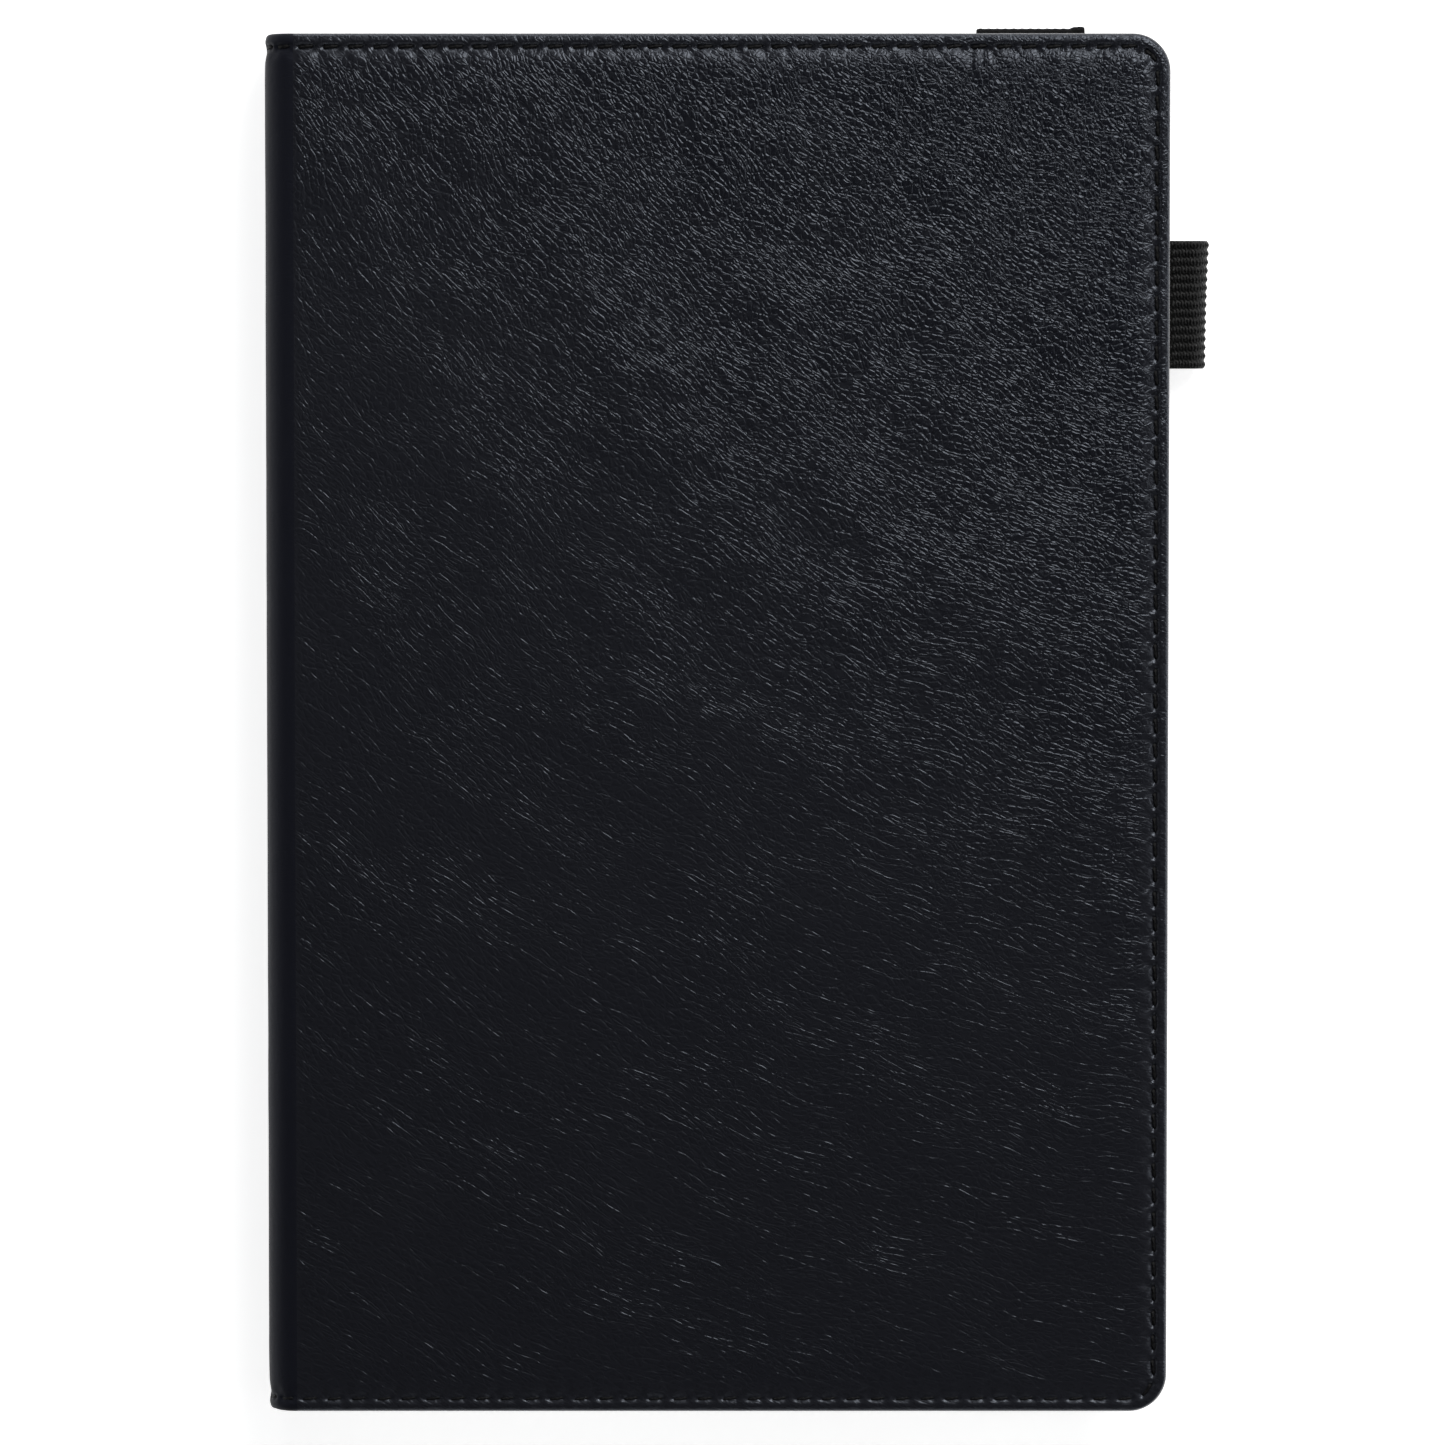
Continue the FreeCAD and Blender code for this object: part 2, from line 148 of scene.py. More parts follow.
def shell(name, top, bottom, material, flip=False, gtop=None, **kw):
    """Closed body between two grids of the same shape."""
    ni, nj = top.shape[:2]
    n = ni * nj
    faces = [quads(ni, nj, 0, flip), quads(ni, nj, n, not flip)]
    r = rim(ni, nj)
    nxt = np.roll(r, -1)
    side = np.stack([r, r + n, nxt + n, nxt], -1)
    faces.append(side if not flip else side[:, ::-1])
    verts = np.concatenate([top.reshape(-1, 3), bottom.reshape(-1, 3)])
    g = None
    if gtop is not None:
        g = np.concatenate([gtop.reshape(-1, 3)] * 2)
    return mesh(name, verts, np.concatenate(faces), material, grain=g, **kw)


# ----------------------------------------------------------------- materials
def new_mat(name):
    m = bpy.data.materials.new(name)
    m.use_nodes = True
    nt = m.node_tree
    nt.nodes.clear()
    out = nt.nodes.new("ShaderNodeOutputMaterial")
    p = nt.nodes.new("ShaderNodeBsdfPrincipled")
    nt.links.new(p.outputs[0], out.inputs[0])
    return m, nt, p


def node(nt, kind, **kw):
    n = nt.nodes.new(kind)
    for k, v in kw.items():
        if k.startswith("_"):
            setattr(n, k[1:], v)
        else:
            n.inputs[k.replace("__", " ")].default_value = v
    return n


def math_node(nt, op, a, b=None, c=None, clamp=False):
    n = nt.nodes.new("ShaderNodeMath")
    n.operation = op
    n.use_clamp = clamp
    for k, v in enumerate((a, b, c)):
        if v is None:
            continue
        if isinstance(v, (int, float)):
            n.inputs[k].default_value = v
        else:
            nt.links.new(v, n.inputs[k])
    return n.outputs[0]


def remap(nt, v, a, b, c=0.0, d=1.0, smoothstep=True):
    n = nt.nodes.new("ShaderNodeMapRange")
    n.interpolation_type = "SMOOTHSTEP" if smoothstep else "LINEAR"
    nt.links.new(v, n.inputs[0])
    for k, x in enumerate((a, b, c, d)):
        n.inputs[k + 1].default_value = x
    return n.outputs[0]


def mix_col(nt, fac, a, b):
    n = nt.nodes.new("ShaderNodeMix")
    n.data_type = "RGBA"
    nt.links.new(fac, n.inputs[0])
    for k, v in ((6, a), (7, b)):
        if isinstance(v, tuple):
            n.inputs[k].default_value = (*v, 1.0)
        else:
            nt.links.new(v, n.inputs[k])
    return n.outputs[2]


def vec(nt, x, y, z=0.0):
    n = nt.nodes.new("ShaderNodeCombineXYZ")
    for k, v in enumerate((x, y, z)):
        if isinstance(v, (int, float)):
            n.inputs[k].default_value = v
        else:
            nt.links.new(v, n.inputs[k])
    return n.outputs[0]


def tex(nt, kind, coord, scale, detail=2.0, rough=0.5, feature=None, out=0, dist=0.0):
    n = nt.nodes.new("ShaderNodeTex" + kind)
    nt.links.new(coord, n.inputs["Vector"])
    n.inputs["Scale"].default_value = scale
    if kind == "Noise":
        n.inputs["Detail"].default_value = detail
        n.inputs["Roughness"].default_value = rough
        n.inputs["Distortion"].default_value = dist
    if feature:
        n.feature = feature
    return n.outputs[out]


def bump(nt, p, height, distance, strength=1.0):
    b = nt.nodes.new("ShaderNodeBump")
    b.inputs["Strength"].default_value = strength
    b.inputs["Distance"].default_value = distance
    nt.links.new(height, b.inputs["Height"])
    nt.links.new(b.outputs[0], p.inputs["Normal"])
    return b


def leather_material(name, dark, light, painted_haze, depth=0.00010, r0=0.22, r1=0.34, spec=0.5):
    m, nt, p = new_mat(name)
    at = nt.nodes.new("ShaderNodeAttribute")
    at.attribute_name = "grain"
    sep = nt.nodes.new("ShaderNodeSeparateXYZ")
    nt.links.new(at.outputs["Vector"], sep.inputs[0])
    u, v, amt = sep.outputs
    flat = vec(nt, u, v)
    # wandering of the cell pattern
    def wander(scale, detail):
        wob = nt.nodes.new("ShaderNodeTexNoise")
        nt.links.new(flat, wob.inputs["Vector"])
        wob.inputs["Scale"].default_value = scale
        wob.inputs["Detail"].default_value = detail
        ws = nt.nodes.new("ShaderNodeSeparateXYZ")
        nt.links.new(wob.outputs["Color"], ws.inputs[0])
        return ws.outputs
    w1, w2 = wander(0.055, 1.0), wander(0.34, 2.0)
    uw = math_node(nt, "MULTIPLY_ADD", w2[0], 0.8, math_node(nt, "MULTIPLY_ADD", w1[0], 5.0, u))
    vw = math_node(nt, "MULTIPLY_ADD", w2[1], 0.9, math_node(nt, "MULTIPLY_ADD", w1[1], 6.0, v))
    # pebbles: cells lying along the run of the grain
    cell = vec(nt, math_node(nt, "MULTIPLY", uw, 0.78), math_node(nt, "MULTIPLY", vw, 1.25))
    edge = tex(nt, "Voronoi", cell, 1.0, feature="DISTANCE_TO_EDGE")
    pebble = remap(nt, edge, 0.0, 0.21)
    # long creases, broken up
    crease_v = vec(nt, math_node(nt, "MULTIPLY", uw, 0.15), math_node(nt, "MULTIPLY", vw, 0.62))
    crease = remap(nt, tex(nt, "Voronoi", crease_v, 1.0, feature="DISTANCE_TO_EDGE"), 0.0, 0.085)
    breaks = remap(nt, tex(nt, "Noise", flat, 0.3, 2.0), 0.46, 0.66)
    crease = math_node(nt, "MAXIMUM", crease, breaks)
    # fine ticks running with the creases
    tick_v = vec(nt, math_node(nt, "MULTIPLY", uw, 0.7), math_node(nt, "MULTIPLY", vw, 2.4))
    tick = tex(nt, "Noise", tick_v, 1.0, 2.0, 0.5)
    micro = tex(nt, "Noise", flat, 7.0, 3.0, 0.6)
    # patches where the print is fainter
    patch = remap(nt, tex(nt, "Noise", vec(nt, math_node(nt, "MULTIPLY", u, 0.06), math_node(nt, "MULTIPLY", v, 0.16)),
                          1.0, 3.0), 0.34, 0.62, 0.84, 1.04)
    h = math_node(nt, "MULTIPLY", pebble, 0.72)
    h = math_node(nt, "MULTIPLY_ADD", crease, 0.80, h)
    h = math_node(nt, "MULTIPLY_ADD", tick, 0.30, h)
    h = math_node(nt, "MULTIPLY", math_node(nt, "MULTIPLY", h, amt), patch)
    h = math_node(nt, "MULTIPLY_ADD", micro, 0.05, h)
    bump(nt, p, h, depth)
    # colour: random tone plus the pebble mask, which darkens the crease valleys as painted shade
    shade = math_node(nt, "MULTIPLY_ADD", tex(nt, "Noise", flat, 0.09, 3.0), 0.6,
                      math_node(nt, "MULTIPLY", pebble, 0.4), clamp=True)
    body = mix_col(nt, shade, dark, light)
    # painted haze: where the relief mask is low (spine crease, tail, seam edges, rim walls) the base colour is lifted
    # towards a lighter colour that stands in for a soft sheen
    nt.links.new(mix_col(nt, remap(nt, amt, 0.15, 0.95, 1.0, 0.0, False), body, painted_haze), p.inputs["Base Color"])
    rv = math_node(nt, "MULTIPLY_ADD", tick, -0.5,
                   math_node(nt, "MULTIPLY_ADD", pebble, -0.35, 1.25), clamp=True)
    rv = math_node(nt, "MULTIPLY_ADD", tex(nt, "Noise", flat, 0.06, 2.0), 0.4, rv)
    nt.links.new(remap(nt, rv, 0.5, 1.5, r0, r1, False), p.inputs["Roughness"])
    p.inputs["Specular IOR Level"].default_value = spec
    p.inputs["Specular Tint"].default_value = (0.80, 0.87, 1.0, 1.0)
    return m


def cloth_material(name, dark, light, scale, depth, weave=0.0, sheen=0.3, rough=(0.75, 0.95),
                   axis=(1.0, 1.0, 1.0), spec=0.3):
    """Matte stuff with mottled colour and a fine nap or weave, in object space."""
    m, nt, p = new_mat(name)
    tc = nt.nodes.new("ShaderNodeTexCoord")
    mp = nt.nodes.new("ShaderNodeMapping")
    mp.inputs["Scale"].default_value = axis
    nt.links.new(tc.outputs["Object"], mp.inputs["Vector"])
    c = mp.outputs[0]
    nap = tex(nt, "Noise", c, scale, 4.0, 0.65)
    broad = tex(nt, "Noise", c, scale * 0.02, 3.0)
    h = nap
    if weave:
        sep = nt.nodes.new("ShaderNodeSeparateXYZ")
        nt.links.new(c, sep.inputs[0])
        a = math_node(nt, "SINE", math_node(nt, "MULTIPLY", sep.outputs[0], weave))
        b = math_node(nt, "SINE", math_node(nt, "MULTIPLY", sep.outputs[1], weave))
        h = math_node(nt, "MULTIPLY_ADD", math_node(nt, "MULTIPLY", a, b), 0.45,
                      math_node(nt, "MULTIPLY", nap, 0.5))
    bump(nt, p, h, depth)
    f = math_node(nt, "MULTIPLY_ADD", broad, 0.7, math_node(nt, "MULTIPLY", nap, 0.5), clamp=True)
    nt.links.new(mix_col(nt, remap(nt, f, 0.3, 0.9), dark, light), p.inputs["Base Color"])
    nt.links.new(remap(nt, nap, 0.3, 0.7, rough[0], rough[1], False), p.inputs["Roughness"])
    p.inputs["Sheen Weight"].default_value = sheen
    p.inputs["Sheen Roughness"].default_value = 0.5
    p.inputs["Specular IOR Level"].default_value = spec
    return m


# the last colour is the painted haze colour, lighter than the leather's own dark and light tones
LEATHER = leather_material("cover_leather", (0.0022, 0.0025, 0.0047), (0.0042, 0.0047, 0.0078),
                           (0.0134, 0.0139, 0.0180))
# the spine is the cover's leather with less shine and a lighter base colour, a painted haze
SPINE = leather_material("spine_leather", (0.0086, 0.0093, 0.0140), (0.0106, 0.0113, 0.0164),
                         (0.0102, 0.0109, 0.0160), r0=0.42, r1=0.54, spec=0.09)
POCKET = leather_material("pocket_leather", (0.006, 0.0064, 0.0082), (0.010, 0.0104, 0.0127),
                          (0.009, 0.0094, 0.0115), depth=0.00004, r0=0.42, r1=0.62, spec=0.4)
THREAD = cloth_material("thread", (0.0015, 0.0015, 0.0018), (0.0055, 0.0055, 0.0064), 9000, 0.00003,
                        sheen=0.0, rough=(0.5, 0.7), spec=0.2)
ELASTIC = cloth_material("elastic", (0.0006, 0.0006, 0.0007), (0.0036, 0.0036, 0.0038), 5200, 0.00006,
                         weave=9000, sheen=0.0, rough=(0.34, 0.55), spec=0.22)
LINING = cloth_material("lining", (0.011, 0.011, 0.013), (0.022, 0.022, 0.026), 2600, 0.00005,
                        sheen=0.06, rough=(0.8, 1.0), spec=0.2)
PAPER = cloth_material("paper", (0.86, 0.85, 0.81), (0.90, 0.89, 0.855), 1500, 0.00002,
                       sheen=0.0, rough=(0.75, 0.9))
CARD = cloth_material("card", (0.022, 0.022, 0.025), (0.045, 0.045, 0.05), 1800, 0.00003,
                      sheen=0.1, rough=(0.6, 0.8))
TAPE = cloth_material("book_cloth", (0.012, 0.012, 0.013), (0.03, 0.03, 0.032), 3000, 0.00005,
                      weave=11000, sheen=0.3)
BOARD = cloth_material("greyboard", (0.22, 0.20, 0.17), (0.36, 0.33, 0.29), 1400, 0.00006, sheen=0.0)
FOAM = cloth_material("foam", (0.55, 0.54, 0.5), (0.75, 0.74, 0.7), 2200, 0.0001, sheen=0.2)


BAND = cloth_material("elastic_band", (0.0008, 0.0008, 0.0009), (0.0030, 0.0030, 0.0032), 5200, 0.00006,
                      weave=9000, sheen=0.0, rough=(0.6, 0.8), spec=0.08)


# ------------------------------------------------------------ seam and relief
def seam_point(s):
    """Place and direction on the seam line, s from the head end of the crease."""
    def head(s):
        if s <= L1:
            return s, HH - SEAM, 1.0, 0.0
        if s <= L1 + LA:
            a = math.pi / 2 - (s - L1) / RS
            return L1 + RS * math.cos(a), HH - R + RS * math.sin(a), math.sin(a), -math.cos(a)
        return W - SEAM, HH - R - (s - L1 - LA), 0.0, -1.0
    if s <= LTOT / 2:
        return head(s)
    x, y, tx, ty = head(LTOT - s)
    return x, -y, -tx, ty


HOLE = RNG.uniform(0.65, 1.2, N_ST + 2)
SKEW = RNG.uniform(-0.25, 0.25, N_ST + 2)
for k in (0, N_ST):
    HOLE[k], SKEW[k] = 1.0, 0.0


def panel_field(x0, d0, step, fine):
    """Grid over the panel: x, y, inset d and seam coordinate s."""
    xs = lines(x0, W - d0, step, fine, at_b=True)
    ys = lines(-(HH - d0), HH - d0, step, fine, at_a=True, at_b=True)
    X, Y = np.meshgrid(xs, ys, indexing="ij")
    sg = np.where(Y >= 0, 1.0, -1.0)
    dx, dy = W - X, HH - np.abs(Y)
    d = np.minimum(dx, dy)
    r = np.maximum(R - d, 0.3)
    gap = np.abs(dx - dy)
    on_fore = dx <= dy
    a = np.where(on_fore, (math.pi / 4) * (1 - gap / r), math.pi / 2 - (math.pi / 4) * (1 - gap / r))
    arc = gap < r
    cx, cy = W - d - r, HH - d - r
    Xm = np.where(arc, cx + r * np.cos(a), X)
    Ym = np.where(arc, sg * (cy + r * np.sin(a)), Y)
    s = np.where(arc, L1 + RS * (math.pi / 2 - a),
                 np.where(on_fore, L1 + LA + (HH - R - np.abs(Y)), X))
    s = np.where(sg > 0, s, LTOT - s)
    return Xm, Ym, d, s


def stitch_dents(d, ds, amp, skew, groove, pit, pull, tail=0.0):
    """Groove, needle holes and drawn leather; ds runs from the middle of the gap between two stitches.
    The seam lies shallower along the tail edge."""
    sunk = 1 - 0.78 * np.exp(-(ds / 0.72) ** 2)
    dd = d - SEAM
    z = -groove * (1 - 0.42 * tail) * sunk * np.exp(-(np.abs(dd) / np.where(dd > 0, 0.98, 0.5 + 0.24 * tail)) ** 2.0)
    gap = np.abs(ds) - 0.92
    z -= pit * amp * np.exp(-(gap ** 2 + dd ** 2) / 0.12)
    z -= pull * amp * np.exp(-((d - 3.1) / 0.95) ** 2) * np.exp(-((ds + skew) / 0.85) ** 2)
    return z


def seam_relief(d, s, groove=0.5, pit=0.30, pull=0.22):
    k = np.clip(np.round(s / PITCH).astype(int), 0, N_ST)
    ds = s - k * PITCH
    amp = HOLE[k]
    tail = smooth(LTOT - L1 - LA, LTOT - L1, s)
    z = stitch_dents(d, ds, amp, SKEW[k], groove, pit * (1 - 0.3 * tail), pull, tail)
    z -= 0.4 * pull * amp * np.exp(-((d - 1.15) / 0.5) ** 2) * np.exp(-(ds / 0.7) ** 2)
    tug = vnoise(s / 1.6, d * 0.25, 11) * 0.55 + vnoise(s / 0.8, d * 0.35 + 9, 12) * 0.45
    z += 0.5 * pull * tug * np.exp(-np.abs(d - 3.2) / 1.9) * smooth(2.0, 3.0, d)
    z += 0.05 * vnoise(s / 0.62, d * 0.8 + 3, 13) * np.exp(-((d - 0.9) / 0.6) ** 2) * (pull > 0.1)
    return z


def bead(d):
    """Rounding of the turned edge: a low crown, then a quick roll over the rim."""
    t = np.clip(1 - d / 1.5, 0, 1)
    q = np.clip(1 - d / 0.42, 0, 1)
    return -0.40 * t * t - 0.55 * (1 - np.sqrt(np.clip(1 - q * q, 0, 1)))


def grain_coords(X, Y, amt):
    """The grain runs in wide arcs, steep at the spine and flatter at the fore edge."""
    ax, ay = X - 198.0, Y - 214.0
    rr = np.hypot(ax, ay)
    ph = np.arctan2(ay, ax) % (2 * math.pi)
    return np.stack([230.0 * ph, rr, amt], -1)


# ------------------------------------------------------------- leather panels
def leather_panel(name, body, front):
    step, fine = (0.42, 0.19) if front else (0.7, 0.26)
    X, Y, d, s = panel_field(0.0, 0.0, step, fine)
    z = bead(d) + seam_relief(d, s)
    z -= 0.10 * (1 - smooth(2.5, 9.0, d))                 # foam crown
    inner = smooth(3.0, 12.0, d)
    z += inner * (0.035 * vnoise(X / 23, Y / 31, 21) + 0.018 * vnoise(X / 9 + 5, Y / 13, 22) - 0.04)
    if front:
        # draws in the leather where the seam crosses thicker stuff
        for xc, lean, w, a in ((107.7, -0.16, 0.5, 0.24), (109.4, 0.04, 0.55, 0.36), (110.9, 0.28, 0.5, 0.24),
                               (127.0, 0.1, 0.8, 0.07)):
            z -= a * np.exp(-((X - xc - lean * (d - 3)) / w) ** 2) * np.exp(-((d - 3.4) / 2.0) ** 2) * (Y > 0)
    else:
        b0, b1 = 109.0, 126.4
        dip = smooth(b0 - 0.9, b0 - 0.1, X) * (1 - smooth(b1 + 0.1, b1 + 0.9, X))
        z = np.minimum(z, -0.66 * dip)
    z = np.minimum(z, 0.0)
    # shallower relief at the crease and along the seam, which also lightens the colour there as painted haze
    amt = 0.40 + 0.60 * smooth(0.0, 0.9, X)
    amt = amt * (0.5 + 0.5 * smooth(2.8, 6.0, d))
    # relief pressed deepest towards the head and fore edge, shallower at the spine and tail; the same mask lifts the
    # colour there as painted haze
    far = np.clip(0.80 * (HH - Y) / (2 * HH) + 0.45 * (1 - X / W), 0, 1.15)
    amt = amt * (1.02 - 0.68 * smooth(0.0, 0.68, far)) * (1 + 0.12 * vnoise(X / 17, Y / 15, 25))
    top = np.stack([X, Y, T + z if front else -z], -1)
    ni, nj = X.shape
    verts = [top.reshape(-1, 3)]
    g = [grain_coords(X, Y, amt).reshape(-1, 3)]
    faces = [quads(ni, nj, 0, not front).tolist()]
    r = rim(ni, nj)
    base = top.reshape(-1, 3)[r]
    gb = g[0][r]
    d_r = d.reshape(-1)[r]
    # outward direction of the rim, in plan
    nrm = np.zeros((len(r), 2))
    px, py = base[:, 0], base[:, 1]
    cxr = np.clip(px, None, W - R)
    cyr = np.clip(py, -(HH - R), HH - R)
    nrm = np.stack([px - cxr, py - cyr], -1)
    ln = np.maximum(np.linalg.norm(nrm, axis=1, keepdims=True), 1e-9)
    nrm = np.where(ln > 1e-6, nrm / ln, 0)
    spine_side = px < 1e-6
    prev = r
    count = ni * nj
    for inset, depth in ((0.03, 1.95), (0.12, 2.35), (0.32, 2.75), (0.62, 3.05), (1.0, 3.25), (1.6, 3.3)):
        ring = base.copy()
        ring[:, 0] -= nrm[:, 0] * inset * ~spine_side
        ring[:, 1] -= nrm[:, 1] * inset
        zz = T - depth if front else depth
        low = np.minimum(ring[:, 2], zz) if front else np.maximum(ring[:, 2], zz)
        ring[:, 2] = low
        verts.append(ring)
        # the rim walls get a low relief mask, so their colour is lifted to the painted haze
        g.append(gb * np.array([1, 1, 0.2]))
        now = count + np.arange(len(r))
        q = np.stack([prev, now, np.roll(now, -1), np.roll(prev, -1)], -1)
        faces.append((q if front else q[:, ::-1]).tolist())
        prev = now
        count += len(r)
    cap = list(map(int, prev))
    faces.append([cap if not front else cap[::-1]])
    ob = mesh(name, np.concatenate(verts), [f for fs in faces for f in fs], LEATHER, body=body,
              slot="leather", replaces=["front_leather" if front else "back_leather"],
              grain=np.concatenate(g))
    return ob


leather_panel("front_cover_leather", "front_cover", True)
leather_panel("back_cover_leather", "back_cover", False)


# --------------------------------------------------------------- spine skin
def arc_profile(a):
    """Outer section of the spine: place and outward normal at arc length a, from the back crease."""
    q = SR * math.pi / 2
    wall = T - 2 * SR
    x, z, nx, nz = (np.zeros_like(a) for _ in range(4))
    lo_, mid, up = a <= q, (a > q) & (a < q + wall), a >= q + wall
    f = a / SR
    x = np.where(lo_, -SR * np.sin(f), x); z = np.where(lo_, SR - SR * np.cos(f), z)
    nx = np.where(lo_, -np.sin(f), nx); nz = np.where(lo_, -np.cos(f), nz)
    x = np.where(mid, -SR, x); z = np.where(mid, SR + a - q, z); nx = np.where(mid, -1.0, nx)
    f = math.pi / 2 - (a - q - wall) / SR
    x = np.where(up, -SR * np.sin(f), x); z = np.where(up, T - SR + SR * np.cos(f), z)
    nx = np.where(up, -np.sin(f), nx); nz = np.where(up, np.cos(f), nz)
    return x, z, nx, nz


Q_ARC = SR * math.pi / 2
WALL = T - 2 * SR
SP_PITCH = (2 * Q_ARC + WALL) / 7.0


def spine_piece(name, a0, a1, inner, node_name, body=None, joint=None):
    step, fine = ((0.7, 0.22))
    aa = np.linspace(a0, a1, 26 if a1 - a0 < 9 else 34)
    ys = lines(-HH, HH, step, fine, at_a=True, at_b=True)
    A, Y = np.meshgrid(aa, ys, indexing="ij")
    d = HH - np.abs(Y)
    px, pz, nx, nz = arc_profile(A)
    k = np.round(A / SP_PITCH)
    ds = A - k * SP_PITCH
    tail = (Y < 0) * 1.0
    off = bead(d) + stitch_dents(d, ds, 1.0, 0.0, 0.5, 0.30 * (1 - 0.3 * tail), 0.22, tail)
    off -= 0.10 * (1 - smooth(2.5, 9.0, d))
    wav = 0.03 * vnoise(Y / 17, A / 9, 31) + 0.02 * vnoise(Y / 5, A / 6, 32)
    ends = np.sin(np.pi * np.clip(A / (2 * Q_ARC + WALL), 0, 1))
    off += (wav - 0.03) * smooth(3, 10, d) * ends
    off = np.minimum(off, 0)
    top = np.stack([px + nx * off, Y, pz + nz * off], -1)
    dep = np.minimum(off - 0.05, -inner + 0 * off)
    bot = np.stack([px + nx * dep, Y, pz + nz * dep], -1)
    # a low relief mask, which also gives the spine the full painted haze colour
    g = np.stack([200 - A * 1.0, 200 + Y, 0.12 + 0 * A], -1)
    ob = shell(name, top, bot, SPINE, gtop=g, flip=False, slot="leather",
               replaces=[node_name], body=body)
    if joint:
        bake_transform(ob)
    return ob


def P(x, z, y=0.0):
    return ((x + SX) / 1000.0, y / 1000.0, z / 1000.0)


BACK_BEND = ("back_cover", "spine", P(0, 0), P(-SR, SR))
FRONT_BEND = ("spine", "front_cover", P(-SR, T - SR), P(0, T))
spine_piece("back_hinge_skin", 0.0, Q_ARC, 1.6, "back_hinge_leather", joint=BACK_BEND)
spine_piece("spine_skin", Q_ARC, Q_ARC + WALL, 1.95, "spine_leather", body="spine")
spine_piece("front_hinge_skin", Q_ARC + WALL, 2 * Q_ARC + WALL, 1.6, "front_hinge_leather", joint=FRONT_BEND)


# ------------------------------------------------------------------ stitches
def thread_tube(points, r=0.24, sides=9, twist=1.15, lobes=3):
    """Twisted thread along a run of points; returns verts and faces."""
    p = np.asarray(points, float)
    t = np.gradient(p, axis=0)
    t /= np.linalg.norm(t, axis=1, keepdims=True)
    ref = np.array([0.0, 0.0, 1.0])
    if abs(t[len(t) // 2] @ ref) > 0.9:
        ref = np.array([1.0, 0.0, 0.0])
    b = np.cross(t, ref)
    b /= np.linalg.norm(b, axis=1, keepdims=True)
    n = np.cross(b, t)
    seg = np.concatenate([[0], np.cumsum(np.linalg.norm(np.diff(p, axis=0), axis=1))])
    ang = np.linspace(0, 2 * math.pi, sides, endpoint=False)
    taper = np.clip(np.minimum(seg, seg[-1] - seg) / 0.25, 0.25, 1) ** 0.5
    rr = r * taper[:, None] * (1 + 0.17 * np.cos(lobes * ang[None, :] - 2 * math.pi * seg[:, None] / twist))
    v = p[:, None, :] + rr[..., None] * (np.cos(ang)[None, :, None] * b[:, None, :]
                                         + np.sin(ang)[None, :, None] * n[:, None, :])
    m, s = v.shape[:2]
    faces = []
    for i in range(m - 1):
        for j in range(s):
            k = (j + 1) % s
            faces.append([i * s + j, i * s + k, (i + 1) * s + k, (i + 1) * s + j])
    faces.append(list(range(s))[::-1])
    faces.append([(m - 1) * s + j for j in range(s)])
    return v.reshape(-1, 3), faces


def join(parts):
    vs, fs, n = [], [], 0
    for v, f in parts:
        vs.append(v)
        fs += [[i + n for i in q] for q in f]
        n += len(v)
    return np.concatenate(vs), fs


def stitch_run(x, y, tx, ty, z, up, length=3.15, rise=0.30, slant=0.13, r=0.24):
    """One stitch, its ends dipping into the holes; z is the groove floor."""
    u = np.linspace(-1, 1, 13)
    px = x + tx * u * length / 2 - ty * u * slant
    py = y + ty * u * length / 2 + tx * u * slant
    h = rise * (1 - np.abs(u) ** 4) - 0.22
    return np.stack([px, py, z + up * h], -1)


def panel_threads(zg, up, sel=lambda x, y: True, r=0.27):
    out = []
    for k in range(N_ST):
        x, y, tx, ty = seam_point((k + 0.5) * PITCH)
        if sel(x, y):
            j, slant, run = RNG.uniform(-0.05, 0.05), 0.10 + RNG.uniform(0, 0.07), PITCH * 0.58
            pts = []
            for w in np.linspace(-1, 1, 13):
                x, y, tx, ty = seam_point((k + 0.5) * PITCH + w * run / 2)
                o = j + slant * w
                pts.append((x - ty * o, y + tx * o, zg + up * (0.28 * (1 - abs(w) ** 4) - 0.24)))
            out.append(thread_tube(pts, r))
    return out


fz, bz = T - 0.58, 0.58
doc_x, sleeve_x = 14.0, 60.0
z_doc, z_sleeve = T - 4.8, 5.0
parts = panel_threads(fz, 1)
parts += panel_threads(T - Z_IN + 0.28, -1, lambda x, y: x < doc_x - 1.5, 0.2)
parts += panel_threads(z_doc + 0.34, -1, lambda x, y: x > doc_x + 1.5, 0.2)
v, f = join(parts)
mesh("front_seam_thread", v, f, THREAD, body="front_cover", slot="thread", replaces=["front_stitching"])
parts = panel_threads(bz, -1, lambda x, y: not (107.5 < x < 128 and abs(y) > 60))
parts += panel_threads(Z_IN - 0.28, 1, lambda x, y: x < sleeve_x - 1.5, 0.2)
parts += panel_threads(z_sleeve - 0.34, 1, lambda x, y: x > sleeve_x + 1.5, 0.2)
v, f = join(parts)
mesh("back_seam_thread", v, f, THREAD, body="back_cover", slot="thread", replaces=["back_stitching"])

runs = {"back": [], "spine": [], "front": []}
for k in range(7):
    mid = (k + 0.5) * SP_PITCH
    for sg in (1, -1):
        u = np.linspace(-1, 1, 13)
        a = mid + u * SP_PITCH * 0.30
        x, z, nx, nz = arc_profile(a)
        off = -0.58 + 0.28 * (1 - np.abs(u) ** 4) - 0.24
        pts = np.stack([x + nx * off, sg * (HH - SEAM) + 0.1 * u, z + nz * off], -1)
        key = "back" if mid < Q_ARC else ("spine" if mid < Q_ARC + WALL else "front")
        runs[key].append(thread_tube(pts, 0.27))
v, f = join(runs["spine"])
mesh("spine_seam_thread", v, f, THREAD, body="spine", slot="thread", replaces=["spine_stitching"])
v, f = join(runs["back"])
o = mesh("back_hinge_thread", v, f, THREAD, slot="thread", replaces=["back_hinge_stitching"])
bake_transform(o)
v, f = join(runs["front"])
o = mesh("front_hinge_thread", v, f, THREAD, slot="thread", replaces=["front_hinge_stitching"])
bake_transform(o)


